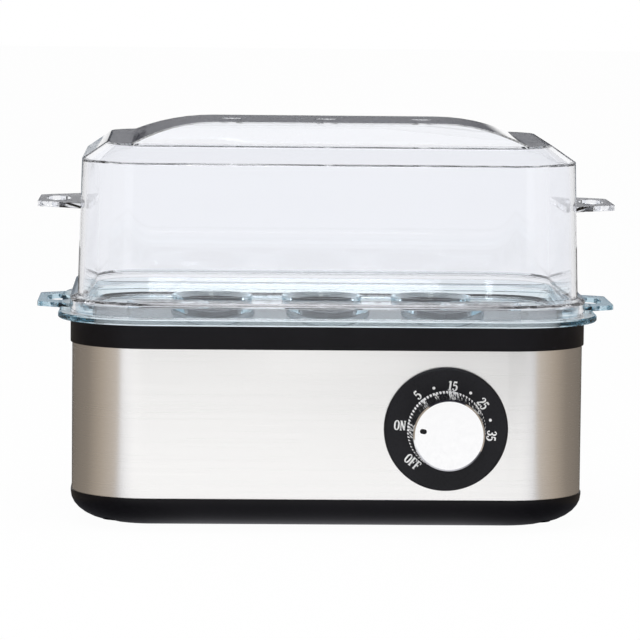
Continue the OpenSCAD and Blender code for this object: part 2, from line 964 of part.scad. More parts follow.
module bell_nut() {
    color(steel_color)
    placed()
    on_dial(y_bell_top + bell_t)
    difference() {
        cylinder(r = nut_r, h = bell_nut_h, $fn = 6);
        translate([0, 0, -cut])
        cylinder(r = bell_stud_r + run_gap, h = bell_nut_h + 2 * cut);
    }
}

module timer_shaft() {
    y_tip = y_knob - knob_hub_in - knob_bore_l + knob_tip_gap;
    y_end = y_journal + journal_l - journal_gap;
    color(steel_color)
    placed()
    on_dial(y_tip)
    cylinder(r = shaft_r, h = y_end - y_tip);
}

module timer_cam() {
    lobe = 12;
    color(brass_color)
    placed()
    on_dial(y_case + bush_flange_t + cam_gap)
    difference() {
        cylinder(r = cam_r, h = cam_t);
        translate([0, 0, -cut])
        cylinder(r = shaft_r + run_gap, h = cam_t + 2 * cut);
        rotate(mark_angle)
        translate([lobe, 0, -cut])
        cylinder(r = lobe / 2, h = cam_t + 2 * cut);
    }
}

module shaft_clip() {
    color(steel_color)
    placed()
    on_dial(y_clip - clip_ring_t)
    difference() {
        cylinder(r = clip_ring_r, h = clip_ring_t);
        translate([0, 0, -cut])
        cylinder(r = shaft_r + run_gap, h = clip_ring_t + 2 * cut);
    }
}

// Front of the knob lies at height zero, its foot at the knob's length
module knob() {
    rib_half = rib_open * rib_pitch;
    color(chrome_color)
    placed()
    on_dial(y_knob_face)
    difference() {
        rotate_extrude()
        polygon([
            [0, 0], [knob_face_r, 0], [knob_front_r, knob_edge], [knob_r, knob_h - knob_foot_h],
            [knob_r, knob_h], [0, knob_h]
        ]);
        for (i = [0 : knob_ribs - 1])
            rotate(360 * i / knob_ribs)
            translate([knob_front_r - rib_depth, 0, knob_edge])
            rotate([0, knob_taper, 0])
            translate([0, 0, knob_lip - knob_edge])
            linear_extrude(knob_h - knob_foot_h - knob_lip)
            polygon([[0, 0], [2 * rib_depth, 2 * rib_half], [2 * rib_depth, -2 * rib_half]]);
        translate([0, 0, knob_cap_t])
        difference() {
            cylinder(r = knob_inner_r, h = knob_h);
            translate([0, 0, -cut])
            cylinder(r = knob_hub_r, h = knob_h - knob_cap_t - knob_hub_in + cut);
        }
        translate([0, 0, knob_h - knob_hub_in - knob_bore_l])
        cylinder(r = shaft_r + run_gap, h = knob_bore_l + cut);
        rotate(-mark_angle)
        translate([mark_out, 0, -cut])
        linear_extrude(mark_depth + cut)
        rotate(90)
        slot(mark_w, mark_l);
    }
}

// Finger hole of an ear
module ear_hole() {
    translate([ear_hole_x, 0])
    scale([ear_hole_w / ear_hole_l, 1])
    circle(d = ear_hole_l);
}

// Plan of an ear on the +X side, from the given root outward
module ear_plan(root) {
    root_half = ear_half + ear_flare * (ear_reach - root);
    side = atan(ear_flare);
    corner_y = ear_half + ear_corner * (ear_flare - sqrt(1 + ear_flare * ear_flare));
    tip = [for (i = [0 : ear_corner_steps])
        let (a = (90 - side) * i / ear_corner_steps)
        [ear_reach - ear_corner + ear_corner * cos(a), corner_y + ear_corner * sin(a)]];
    difference() {
        polygon(concat(
            [[root, root_half], [root, -root_half]],
            [for (i = [ear_corner_steps : -1 : 0]) [tip[i].x, -tip[i].y]],
            tip
        ));
        ear_hole();
    }
}

module egg_tray() {
    color(teal_color)
    placed()
    difference() {
        union() {
            outline_wall()
            polygon([
                [flange_out - flange_edge, z_tray], [flange_out, z_tray + flange_edge],
                [flange_out, z_flange - flange_edge], [flange_out - flange_edge, z_flange],
                [ridge_out, z_flange], [ridge_out, z_flange + ridge_h], [ridge_in, z_flange + ridge_h],
                [well_in, z_well_top], [well_in, z_well], [well_out, z_well], [well_out, z_tray]
            ]);
            translate([0, 0, z_well])
            outline_plate(well_in, tray_t);
            for (side = [0, 180])
                rotate(side)
                translate([0, 0, z_tray_ear])
                linear_extrude(tray_ear_t)
                ear_plan(tray_ear_root);
            for (seat = seats)
                translate([seat.x, seat.y, z_well])
                cylinder(r = seat_r + collar_t, h = tray_t + collar_h);
        }
        for (seat = seats)
            translate([seat.x, seat.y, z_well]) {
                translate([0, 0, -cut])
                cylinder(r = seat_r, h = tray_t + 2 * cut);
                translate([0, 0, tray_t])
                cylinder(r1 = seat_r, r2 = seat_r + collar_flare, h = collar_h);
                translate([0, 0, tray_t + collar_h])
                cylinder(r = seat_r + collar_flare, h = cut);
            }
        for (i = [-1 : 1])
            translate([i * steam_slot_pitch, 0, z_well - cut])
            linear_extrude(tray_t + 2 * cut)
            slot(steam_slot_w, steam_slot_l);
        four(seat_pitch / 2, row_y / 2)
        translate([0, 0, z_well - cut])
        cylinder(r = drain_r, h = tray_t + 2 * cut);
        for (side = [0, 180])
            rotate(side)
            translate([0, 0, z_tray - cut])
            linear_extrude(flange_t + 2 * cut)
            ear_hole();
    }
}

// Raised middle of the lid: arched ends seen from the front, sloped sides seen from the end
module hump(drop) {
    end_r = hump_end_r - drop;
    top = z_hump - drop;
    base = z_top - drop;
    root = base - hump_root;
    flat_y = hump_flat_y - drop * tan(hump_slope / 2);
    side_y = flat_y + (top - base) / tan(hump_slope);
    end_angle = acos(1 - (top - base) / end_r);
    end_x = hump_flat_x + end_r * sin(end_angle);
    end = [for (i = [0 : hump_steps])
        let (a = end_angle * i / hump_steps)
        [hump_flat_x + end_r * sin(a), top - end_r * (1 - cos(a))]];
    intersection() {
        translate([0, hy, 0])
        rotate([90, 0, 0])
        linear_extrude(2 * hy)
        polygon(concat(
            end, [[end_x, root], [-end_x, root]],
            [for (i = [hump_steps : -1 : 0]) [-end[i].x, end[i].y]]
        ));
        translate([-hx, 0, 0])
        rotate([90, 0, 90])
        linear_extrude(2 * hx)
        polygon([
            [-side_y, root], [side_y, root], [side_y, base], [flat_y, top], [-flat_y, top], [-side_y, base]
        ]);
    }
}

module lid() {
    flare_drop = lid_t * tan(atan((skirt_out + lid_foot_in) / skirt_flare_h) / 2);
    shoulder_drop = lid_t * tan((90 - chamfer_angle) / 2);
    top_drop = lid_t * tan(chamfer_angle / 2);
    color(clear_color)
    placed()
    difference() {
        union() {
            outline_wall()
            polygon([
                [skirt_out, z_flange], [skirt_out, z_skirt], [-lid_foot_in, z_flare],
                [-lid_shoulder_in, z_shoulder], [-lid_top_in, z_top], [-lid_join_in, z_top],
                [-lid_join_in, z_top - lid_t], [-lid_top_in - top_drop, z_top - lid_t],
                [-lid_shoulder_in - lid_t, z_shoulder - shoulder_drop],
                [-lid_foot_in - lid_t, z_flare - flare_drop],
                [skirt_out - lid_t, z_skirt - flare_drop], [skirt_out - lid_t, z_flange]
            ]);
            translate([0, 0, z_top - lid_t])
            outline_plate(-lid_join_in, lid_t);
            hump(0);
            for (side = [0, 180])
                rotate(side)
                translate([0, 0, z_ear])
                linear_extrude(ear_t)
                ear_plan(hx - ear_root);
        }
        hump(lid_t);
        for (i = [-1 : 1])
            translate([i * vent_pitch, 0, z_top])
            cylinder(r = vent_r, h = hump_h + cut);
    }
}

base_shell();
rubber_feet();
base_screws();
steel_band();
top_rim();
heating_pan();
pan_seal();
pan_studs();
pan_nuts();
clamp_bars();
heating_element();
element_terminals();
thermostat();
thermostat_bracket();
thermal_fuse();
fuse_clip();
terminal_block();
block_screws();
cord_gland();
dial_ring();
panel_screws();
timer_plate();
timer_case();
timer_bolts();
timer_bush();
timer_tabs();
timer_bell();
bell_nut();
timer_shaft();
timer_cam();
shaft_clip();
knob();
egg_tray();
lid();
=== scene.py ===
"""Looks of an electric egg cooker: finishes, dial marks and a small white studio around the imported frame."""

import json
import math

import bmesh
import bpy
from bpy.props import FloatProperty, FloatVectorProperty, PointerProperty
from mathutils import Matrix, Vector


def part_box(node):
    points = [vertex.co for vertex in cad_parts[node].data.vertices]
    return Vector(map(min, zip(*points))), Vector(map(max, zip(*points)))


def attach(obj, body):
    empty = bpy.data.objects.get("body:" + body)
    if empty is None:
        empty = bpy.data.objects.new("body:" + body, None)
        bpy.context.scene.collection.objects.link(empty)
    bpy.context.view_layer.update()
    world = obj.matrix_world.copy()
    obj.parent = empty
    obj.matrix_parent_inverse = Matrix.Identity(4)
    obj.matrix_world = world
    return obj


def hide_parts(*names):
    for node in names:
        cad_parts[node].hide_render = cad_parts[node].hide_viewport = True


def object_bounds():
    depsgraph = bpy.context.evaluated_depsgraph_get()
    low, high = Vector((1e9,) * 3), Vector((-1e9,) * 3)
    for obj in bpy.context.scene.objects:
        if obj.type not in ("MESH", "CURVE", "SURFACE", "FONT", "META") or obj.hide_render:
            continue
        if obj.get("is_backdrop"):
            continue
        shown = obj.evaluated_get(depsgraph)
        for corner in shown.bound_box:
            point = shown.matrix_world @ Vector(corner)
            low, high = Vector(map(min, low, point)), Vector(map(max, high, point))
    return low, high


bl_info = {
    "name": "Egg Cooker Finishes",
    "version": (1, 0, 0),
    "blender": (4, 5, 0),
    "location": "3D View > Sidebar > Egg Cooker",
    "description": "Dresses the packed egg cooker with its materials, dial marks and studio",
    "category": "Object",
}

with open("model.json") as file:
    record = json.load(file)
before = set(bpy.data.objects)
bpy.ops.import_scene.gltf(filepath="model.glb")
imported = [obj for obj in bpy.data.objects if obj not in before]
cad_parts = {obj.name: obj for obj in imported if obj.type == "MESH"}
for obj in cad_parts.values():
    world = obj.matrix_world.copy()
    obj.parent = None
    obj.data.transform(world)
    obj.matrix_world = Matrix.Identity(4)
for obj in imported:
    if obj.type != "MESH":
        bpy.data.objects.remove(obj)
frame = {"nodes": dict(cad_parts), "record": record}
cad_box = [list(corner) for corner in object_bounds()]
nodes = frame["nodes"]
body_of_node = {n: body for body, members in frame["record"]["behaviour"]["bodies"].items() for n in members}

MM = 0.001


def srgb(red, green, blue):
    """Linear colour of an 8-bit screen colour."""
    return tuple(
        c / 12.92 if c <= 0.04045 else ((c + 0.055) / 1.055) ** 2.4
        for c in (red / 255, green / 255, blue / 255)
    )


def middle(node):
    """Middle of a node's box."""
    low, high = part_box(node)
    return (low + high) / 2


# Settings


class FinishColours(bpy.types.PropertyGroup):
    """Colours of the visible finishes, and how strong the tints inside clear plastic are."""

    black: FloatVectorProperty(
        name="Black plastic", description="Colour of base and rim", subtype="COLOR",
        size=3, min=0, max=1, default=srgb(16, 15, 19))
    dial: FloatVectorProperty(
        name="Dial", description="Colour of the dial", subtype="COLOR",
        size=3, min=0, max=1, default=srgb(31, 31, 35))
    marks: FloatVectorProperty(
        name="Dial marks", description="Colour of the printed dial marks", subtype="COLOR",
        size=3, min=0, max=1, default=srgb(252, 252, 252))
    steel: FloatVectorProperty(
        name="Steel", description="Colour of the brushed band", subtype="COLOR",
        size=3, min=0, max=1, default=srgb(255, 254, 253))
    chrome: FloatVectorProperty(
        name="Chrome", description="Colour of the plated knob", subtype="COLOR",
        size=3, min=0, max=1, default=srgb(252, 252, 253))
    pointer: FloatVectorProperty(
        name="Pointer", description="Colour of the knob's pointer mark", subtype="COLOR",
        size=3, min=0, max=1, default=srgb(24, 24, 27))
    lid: FloatVectorProperty(
        name="Lid", description="Tint that light takes on inside the clear lid", subtype="COLOR",
        size=3, min=0, max=1, default=srgb(140, 143, 152))
    lid_density: FloatProperty(
        name="Lid density", description="Strength of the lid's tint per metre", default=6.0, min=0)
    tray: FloatVectorProperty(
        name="Tray", description="Tint that light takes on inside the egg tray", subtype="COLOR",
        size=3, min=0, max=1, default=srgb(160, 203, 216))
    tray_density: FloatProperty(
        name="Tray density", description="Strength of the tray's tint per metre", default=26.0, min=0)
    ears: FloatVectorProperty(
        name="Tray ears", description="Surface tint of the egg tray's ears", subtype="COLOR",
        size=3, min=0, max=1, default=srgb(204, 222, 232))


class SoftEdges(bpy.types.PropertyGroup):
    """How far edges are rounded."""

    base: FloatProperty(
        name="Base", description="Rounding of the base's edges", unit="LENGTH", default=0.35 * MM, min=0)
    rim: FloatProperty(
        name="Rim", description="Rounding of the rim's edges", unit="LENGTH", default=0.3 * MM, min=0)
    tray: FloatProperty(
        name="Tray", description="Rounding of the egg tray's edges", unit="LENGTH", default=0.25 * MM, min=0)
    lid: FloatProperty(
        name="Lid", description="Rounding of the lid's edges", unit="LENGTH", default=0.15 * MM, min=0)


class DialMarks(bpy.types.PropertyGroup):
    """Sizes of the printed dial marks and of the knob's pointer mark."""

    cap_height: FloatProperty(
        name="Letter height", description="Height of letters and numbers", unit="LENGTH",
        default=3.75 * MM, min=0.001)
    width_share: FloatProperty(
        name="Width", description="Width of the letters against their drawn width",
        subtype="FACTOR", default=0.95, min=0.3, max=1.5)
    stroke: FloatProperty(
        name="Stroke", description="Half the width of a letter's thick stroke, as a share of its height",
        subtype="FACTOR", default=0.1, min=0.01, max=0.2)
    dot_size: FloatProperty(
        name="Dot", description="Diameter of a dot between two numbers", unit="LENGTH",
        default=1.15 * MM, min=0.0005)
    ink: FloatProperty(
        name="Ink", description="Thickness of the print", unit="LENGTH", default=0.05 * MM, min=0.00001)
    mark_angle: FloatProperty(
        name="Pointer angle", description="Angle of the knob's pointer mark, seen from the front",
        subtype="ANGLE", default=math.radians(171))
    mark_out: FloatProperty(
        name="Pointer distance", description="Distance of the pointer mark from the knob's middle",
        unit="LENGTH", default=10 * MM)
    mark_width: FloatProperty(
        name="Pointer width", description="Width of the pointer mark", unit="LENGTH", default=1.88 * MM)
    mark_length: FloatProperty(
        name="Pointer length", description="Length of the pointer mark", unit="LENGTH", default=2.68 * MM)
    mark_depth: FloatProperty(
        name="Pointer depth", description="Thickness of the pointer mark's fill", unit="LENGTH",
        default=0.5 * MM)
    mark_recess: FloatProperty(
        name="Pointer recess", description="How far the fill stays below the knob's face", unit="LENGTH",
        default=0.05 * MM)


class StudioView(bpy.types.PropertyGroup):
    """Camera and light."""

    azimuth: FloatProperty(
        name="Azimuth", description="Camera's turn round the object", subtype="ANGLE",
        default=math.radians(-1.76))
    elevation: FloatProperty(
        name="Elevation", description="Camera's height over the horizon", subtype="ANGLE",
        default=math.radians(5.54))
    roll: FloatProperty(
        name="Roll", description="Camera's turn about its own axis", subtype="ANGLE",
        default=math.radians(0.58))
    distance: FloatProperty(
        name="Distance", description="Camera's distance from its target", unit="LENGTH", default=1.657)
    focal_px: FloatProperty(
        name="Focal length", description="Focal length in pixels of the photograph", subtype="PIXEL",
        default=4118.8)
    target: FloatVectorProperty(
        name="Target", description="Point that the camera looks at, from the middle of the body",
        subtype="TRANSLATION", size=3, default=(-0.00174, 0.0, 0.07574))
    key_power: FloatProperty(
        name="Key", description="Power of the overhead softbox", unit="POWER", default=9.0)
    front_power: FloatProperty(
        name="Front", description="Power of the front softbox", unit="POWER", default=2.2)


class EggCooker(bpy.types.PropertyGroup):
    """Everything that can be set."""

    colours: PointerProperty(type=FinishColours, name="Colours", description="Finish colours")
    edges: PointerProperty(type=SoftEdges, name="Edges", description="Edge roundings")
    dial: PointerProperty(type=DialMarks, name="Dial", description="Dial marks and pointer")
    studio: PointerProperty(type=StudioView, name="Studio", description="Camera and light")


# Materials

# Most values of a noise lie in this span
NOISE_SPAN = (0.3, 0.7)
PLASTIC_IOR = 1.49
LAMP_SHARE = 0.97
EAR_BLEND = 3 * MM


class Finish:
    """A new material with its Principled shader at hand."""

    def __init__(self, name):
        self.material = bpy.data.materials.new(name)
        self.material.use_nodes = True
        self.tree = self.material.node_tree
        self.shader = self.tree.nodes["Principled BSDF"]
        self.output = self.tree.nodes["Material Output"]

    def node(self, kind, **values):
        """Adds a node and sets its properties."""
        made = self.tree.nodes.new(kind)
        for key, value in values.items():
            setattr(made, key, value)
        return made

    def link(self, source, target):
        """Joins an output to an input."""
        self.tree.links.new(source, target)

    def set(self, **sockets):
        """Sets the shader's own sockets, named with underscores."""
        for key, value in sockets.items():
            if hasattr(value, "__len__") and len(value) == 3:
                value = (*value, 1.0)
            self.shader.inputs[key.replace("_", " ")].default_value = value
        return self

    def coordinates(self, scale=(1, 1, 1), location=(0, 0, 0)):
        """Object coordinates, scaled and moved."""
        place = self.node("ShaderNodeTexCoord")
        mapping = self.node("ShaderNodeMapping")
        mapping.inputs["Scale"].default_value = scale
        mapping.inputs["Location"].default_value = location
        self.link(place.outputs["Object"], mapping.inputs["Vector"])
        return mapping.outputs["Vector"]

    def noise(self, scale, detail=4.0, rough=0.55, stretch=(1, 1, 1)):
        """Noise value over the object."""
        made = self.node("ShaderNodeTexNoise")
        made.inputs["Scale"].default_value = scale
        made.inputs["Detail"].default_value = detail
        made.inputs["Roughness"].default_value = rough
        self.link(self.coordinates(stretch), made.inputs["Vector"])
        return made.outputs["Fac"]

    def spread(self, value, low, high, at=NOISE_SPAN):
        """Maps a value's span onto a range of numbers."""
        made = self.node("ShaderNodeMapRange")
        made.inputs["From Min"].default_value = at[0]
        made.inputs["From Max"].default_value = at[1]
        made.inputs["To Min"].default_value = low
        made.inputs["To Max"].default_value = high
        self.link(value, made.inputs["Value"])
        return made.outputs["Result"]

    def roughen(self, value, low, high):
        """Maps a noise value onto the shader's roughness."""
        self.link(self.spread(value, low, high), self.shader.inputs["Roughness"])
        return self

    def tint(self, value, low, high):
        """Maps a noise value onto the shader's colour."""
        ramp = self.node("ShaderNodeValToRGB")
        for element, position, colour in zip(ramp.color_ramp.elements, NOISE_SPAN, (low, high)):
            element.position = position
            element.color = (*colour, 1)
        self.link(value, ramp.inputs["Fac"])
        self.link(ramp.outputs["Color"], self.shader.inputs["Base Color"])
        return self

    def bump(self, value, strength, depth):
        """Raises the surface by a value."""
        made = self.node("ShaderNodeBump")
        made.inputs["Strength"].default_value = strength
        made.inputs["Distance"].default_value = depth
        self.link(value, made.inputs["Height"])
        self.link(made.outputs["Normal"], self.shader.inputs["Normal"])
        return self

    def absorb(self, colour, density):
        """Tints light the deeper it goes."""
        made = self.node("ShaderNodeVolumeAbsorption")
        made.inputs["Color"].default_value = (*colour, 1)
        made.inputs["Density"].default_value = density
        self.link(made.outputs["Volume"], self.output.inputs["Volume"])
        return self

    def lets_lamps_through(self, colour):
        """Lets light pass to what lies behind the clear wall."""
        path = self.node("ShaderNodeLightPath")
        clear = self.node("ShaderNodeBsdfTransparent")
        clear.inputs["Color"].default_value = (*colour, 1)
        mix = self.node("ShaderNodeMixShader")
        self.link(path.outputs["Is Shadow Ray"], mix.inputs["Fac"])
        self.link(self.shader.outputs["BSDF"], mix.inputs[1])
        self.link(clear.outputs["BSDF"], mix.inputs[2])
        self.link(mix.outputs["Shader"], self.output.inputs["Surface"])
        return self


def shade(colour, factor):
    """A darker or lighter shade of a colour."""
    return tuple(min(1.0, c * factor) for c in colour)


def moulded_plastic(name, colour, roughness=0.34, grain=0.02 * MM):
    """Satin moulded plastic with a fine spark-eroded grain."""
    made = Finish(name).set(Specular_IOR_Level=0.15)
    fine = made.noise(2600, detail=3)
    made.tint(made.noise(55), shade(colour, 0.86), shade(colour, 1.14))
    made.roughen(fine, roughness - 0.05, roughness + 0.07)
    return made.bump(fine, strength=0.22, depth=grain).material


def brushed_steel(name, colour):
    """Steel brushed along the band, with fine level scratches."""
    made = Finish(name).set(Metallic=1.0, Anisotropic=0.75, Anisotropic_Rotation=0.25)
    stroke = made.noise(1, detail=6, rough=0.7, stretch=(14, 14, 5200))
    broad = made.noise(1, detail=3, rough=0.5, stretch=(5, 5, 700))
    mixed = made.node("ShaderNodeMix", data_type="FLOAT")
    mixed.inputs["Factor"].default_value = 0.3
    made.link(stroke, mixed.inputs["A"])
    made.link(broad, mixed.inputs["B"])
    value = mixed.outputs["Result"]
    made.tint(value, shade(colour, 0.965), colour)
    made.roughen(value, 0.29, 0.23)
    return made.bump(value, strength=0.06, depth=0.02 * MM).material


def plain_metal(name, colour, roughness):
    """Zinc, brass or a dull sheath with a little cloudiness."""
    made = Finish(name).set(Metallic=1.0)
    cloud = made.noise(160, detail=5)
    made.tint(cloud, shade(colour, 0.86), shade(colour, 1.06))
    made.roughen(cloud, roughness - 0.08, roughness + 0.1)
    return made.bump(made.noise(1500, detail=3), strength=0.08, depth=0.01 * MM).material


def bright_chrome(name, colour):
    """Plated knob, nearly a mirror."""
    made = Finish(name).set(Metallic=1.0)
    cloud = made.noise(420)
    made.tint(cloud, shade(colour, 0.97), shade(colour, 1.02))
    made.roughen(cloud, 0.07, 0.13)
    return made.bump(cloud, strength=0.03, depth=0.01 * MM).material


def clear_plastic(name, surface, depth, density, ears=None):
    """Polished clear plastic with faint moulding ripples, which tints light the deeper it goes.

    The ears, further from the middle than a distance along X, may have a colour of their own.
    """
    made = Finish(name)
    made.set(Base_Color=surface, Roughness=0.02, IOR=PLASTIC_IOR, Transmission_Weight=1.0)
    made.bump(made.noise(38, detail=2), strength=0.05, depth=0.2 * MM)
    if ears:
        reach, colour = ears
        axes = made.node("ShaderNodeSeparateXYZ")
        made.link(made.coordinates(), axes.inputs["Vector"])
        out = made.node("ShaderNodeMath", operation="ABSOLUTE")
        made.link(axes.outputs["X"], out.inputs[0])
        made.tint(made.spread(out.outputs[0], 0.0, 1.0, at=(reach, reach + EAR_BLEND)), surface, colour)
    made.absorb(depth, density)
    return made.lets_lamps_through(shade(surface, LAMP_SHARE)).material


def soft_rubber(name, colour):
    """Matte rubber or silicone with a dusty bloom."""
    made = Finish(name).set(Specular_IOR_Level=0.3)
    bloom = made.noise(120, detail=5)
    made.tint(bloom, shade(colour, 0.85), shade(colour, 1.2))
    made.roughen(bloom, 0.6, 0.85)
    return made.bump(made.noise(1800, detail=3), strength=0.15, depth=0.02 * MM).material


def coated_sheet(name, colour):
    """Dark non-stick coating with fine flecks."""
    made = Finish(name).set(Specular_IOR_Level=0.5)
    fleck = made.noise(900, detail=2)
    made.tint(fleck, shade(colour, 0.7), shade(colour, 1.5))
    made.roughen(fleck, 0.3, 0.45)
    return made.bump(fleck, strength=0.12, depth=0.03 * MM).material


def fired_ceramic(name, colour):
    """Unglazed ceramic or pale moulded plastic."""
    made = Finish(name).set(Specular_IOR_Level=0.35)
    cloud = made.noise(210, detail=5)
    made.tint(cloud, shade(colour, 0.92), shade(colour, 1.05))
    made.roughen(cloud, 0.5, 0.68)
    return made.bump(made.noise(1300), strength=0.2, depth=0.03 * MM).material


def printed_ink(name, colour):
    """White dial print, a little uneven."""
    made = Finish(name).set(Specular_IOR_Level=0.3)
    cloud = made.noise(900, detail=3)
    made.tint(cloud, shade(colour, 0.94), colour)
    return made.roughen(cloud, 0.45, 0.6).material


# Pieces

# Copies of CAD nodes are merged, and their flat faces joined, within these tolerances
MERGE_GAP = 0.002 * MM
FLAT_TURN = math.radians(0.05)
SEAT_REACH = 0.01 * MM
SEAT_GAP = 0.03 * MM
EDGE_SEGMENTS = 2
GENTLE_TURN = math.radians(30)
# A face's area decides alone on the shading of its corners
AREA_WEIGHT = 100


def wear(names, material):
    """Gives CAD nodes their material."""
    for name in names:
        slots = nodes[name].data.materials
        slots.clear()
        slots.append(material)


def add_piece(name, shape, material, body):
    """Makes an object of a finished bmesh, and lets it ride on a body."""
    mesh = bpy.data.meshes.new(name)
    shape.to_mesh(mesh)
    shape.free()
    mesh.materials.append(material)
    piece = bpy.data.objects.new(name, mesh)
    bpy.context.scene.collection.objects.link(piece)
    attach(piece, body)
    return piece


def soften(node, material, edge, crease=28, sharp=28, seat=None, plain=None):
    """A merged copy of a CAD node with rounded edges, which stands for it.

    Edges that turn by more than the crease angle, in degrees, are rounded. Gentle ones between two plain
    heights are left, because their roundings would run into others. Edges that still turn by more than the
    sharp angle part the shading. A hairline gap opens at the height of a seat, so that light inside a clear
    piece meets air there.
    """
    shape = bmesh.new()
    shape.from_mesh(nodes[node].data)
    bmesh.ops.remove_doubles(shape, verts=shape.verts, dist=MERGE_GAP)
    bmesh.ops.dissolve_limit(shape, angle_limit=FLAT_TURN, verts=shape.verts, edges=shape.edges)
    if seat is not None:
        seated = [v for v in shape.verts if abs(v.co.z - seat) < SEAT_REACH]
        bmesh.ops.translate(shape, verts=seated, vec=(0, 0, SEAT_GAP))
    creases = [e for e in shape.edges if e.is_manifold and e.calc_face_angle() > math.radians(crease)]
    if plain is not None:
        low, high = plain
        creases = [
            e for e in creases
            if e.calc_face_angle() > GENTLE_TURN or not all(low < v.co.z < high for v in e.verts)
        ]
    bmesh.ops.bevel(
        shape, geom=creases, offset=edge, offset_type="OFFSET", affect="EDGES", segments=EDGE_SEGMENTS,
        profile=0.5, material=-1, clamp_overlap=True)
    for face in shape.faces:
        face.smooth = True
    piece = add_piece(node + "_soft", shape, material, body_of_node[node])
    leftover = piece.data.attributes.get("custom_normal")
    if leftover:
        piece.data.attributes.remove(leftover)
    piece.data.set_sharp_from_angle(angle=math.radians(sharp))
    flat = piece.modifiers.new("flat faces", "WEIGHTED_NORMAL")
    flat.keep_sharp = True
    flat.weight = AREA_WEIGHT
    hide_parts(node)


def front_of(node, behind=0.0):
    """Place of a drawing on a node's front, or that far behind it: X to the right, Y up, Z to the viewer."""
    centre = middle(node)
    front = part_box(node)[0].y
    return Matrix.Translation((centre.x, front + behind, centre.z)) @ Matrix.Rotation(math.pi / 2, 4, "X")


def dial_spot(angle, radius, turn):
    """Place on the dial's face, turned by its own angle."""
    place = Matrix.Translation((radius * math.cos(angle), radius * math.sin(angle), 0))
    return place @ Matrix.Rotation(turn, 4, "Z")


# Operators for the object

# Surface colours of the clear plastics, and colours of finishes that are hardly seen
LID_SURFACE = srgb(250, 251, 254)
TRAY_SURFACE = srgb(250, 253, 254)
COATING = srgb(52, 52, 56)
SILICONE = srgb(206, 203, 196)
SHEATH = srgb(120, 116, 112)
CERAMIC = srgb(226, 220, 205)
ZINC = srgb(190, 192, 196)
SCREW_ZINC = srgb(180, 182, 186)
BRASS = srgb(206, 172, 98)
BLOCK_IVORY = srgb(222, 214, 190)
TIMER_IVORY = srgb(214, 207, 190)
GLAND_RUBBER = srgb(28, 28, 29)
FOOT_RUBBER = srgb(30, 30, 31)

# Clear pieces are rounded at slighter creases, in degrees, than black ones
CLEAR_CREASE = 12
LID_SHARP = 14
TRAY_SHARP = 20
# The lid's top plate lies between these depths below the lid's highest point
LID_PLATE = (10 * MM, 7 * MM)
# The tray's ears start this far outside the rim
EAR_START = 2 * MM


class FinishOperator:
    """What every operator here shares."""

    bl_options = {"REGISTER", "UNDO"}

    def execute(self, context):
        self.dress(context.scene.egg_cooker)
        return {"FINISHED"}


class EGGCOOKER_OT_mouldings(FinishOperator, bpy.types.Operator):
    """Gives base and rim their satin black plastic"""

    bl_idname = "eggcooker.mouldings"
    bl_label = "Black Mouldings"

    def dress(self, cooker):
        black = moulded_plastic("black_plastic", cooker.colours.black)
        soften("base_shell", black, cooker.edges.base)
        soften("top_rim", black, cooker.edges.rim)


class EGGCOOKER_OT_band(FinishOperator, bpy.types.Operator):
    """Gives the band its brushed steel"""

    bl_idname = "eggcooker.band"
    bl_label = "Steel Band"

    def dress(self, cooker):
        wear(["steel_band"], brushed_steel("brushed_steel", cooker.colours.steel))


class EGGCOOKER_OT_lid(FinishOperator, bpy.types.Operator):
    """Gives the lid its clear plastic"""

    bl_idname = "eggcooker.lid"
    bl_label = "Clear Lid"

    def dress(self, cooker):
        clear = clear_plastic("clear_lid", LID_SURFACE, cooker.colours.lid, cooker.colours.lid_density)
        foot, top = (corner.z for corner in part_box("lid"))
        plate = [top - depth for depth in LID_PLATE]
        soften("lid", clear, cooker.edges.lid, CLEAR_CREASE, LID_SHARP, seat=foot, plain=plate)


class EGGCOOKER_OT_tray(FinishOperator, bpy.types.Operator):
    """Gives the egg tray its tinted clear plastic"""

    bl_idname = "eggcooker.tray"
    bl_label = "Egg Tray"

    def dress(self, cooker):
        colours = cooker.colours
        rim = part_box("top_rim")[1]
        ears = (rim.x + EAR_START, colours.ears)
        tinted = clear_plastic("tinted_tray", TRAY_SURFACE, colours.tray, colours.tray_density, ears)
        soften("egg_tray", tinted, cooker.edges.tray, CLEAR_CREASE, TRAY_SHARP, seat=rim.z)


class EGGCOOKER_OT_heater(FinishOperator, bpy.types.Operator):
    """Finishes the pan, its seal, the heating tube and what holds them"""

    bl_idname = "eggcooker.heater"
    bl_label = "Pan and Heater"

    def dress(self, cooker):
        wear(["heating_pan"], coated_sheet("coated_pan", COATING))
        wear(["pan_seal"], soft_rubber("pale_silicone", SILICONE))
        wear(["heating_element"], plain_metal("heater_sheath", SHEATH, roughness=0.45))
        wear(["element_terminals", "thermostat", "thermal_fuse"], fired_ceramic("fired_ceramic", CERAMIC))
        zinc = plain_metal("zinc_steel", ZINC, roughness=0.32)
        wear(["pan_studs", "pan_nuts", "clamp_bars", "thermostat_bracket", "fuse_clip"], zinc)


class EGGCOOKER_OT_wiring(FinishOperator, bpy.types.Operator):
    """Finishes the terminal block and the gland"""

    bl_idname = "eggcooker.wiring"
    bl_label = "Wiring"

    def dress(self, cooker):
        wear(["terminal_block"], fired_ceramic("ivory_block", BLOCK_IVORY))
        wear(["block_screws"], plain_metal("brass_screws", BRASS, roughness=0.3))
        wear(["cord_gland"], soft_rubber("black_gland", GLAND_RUBBER))


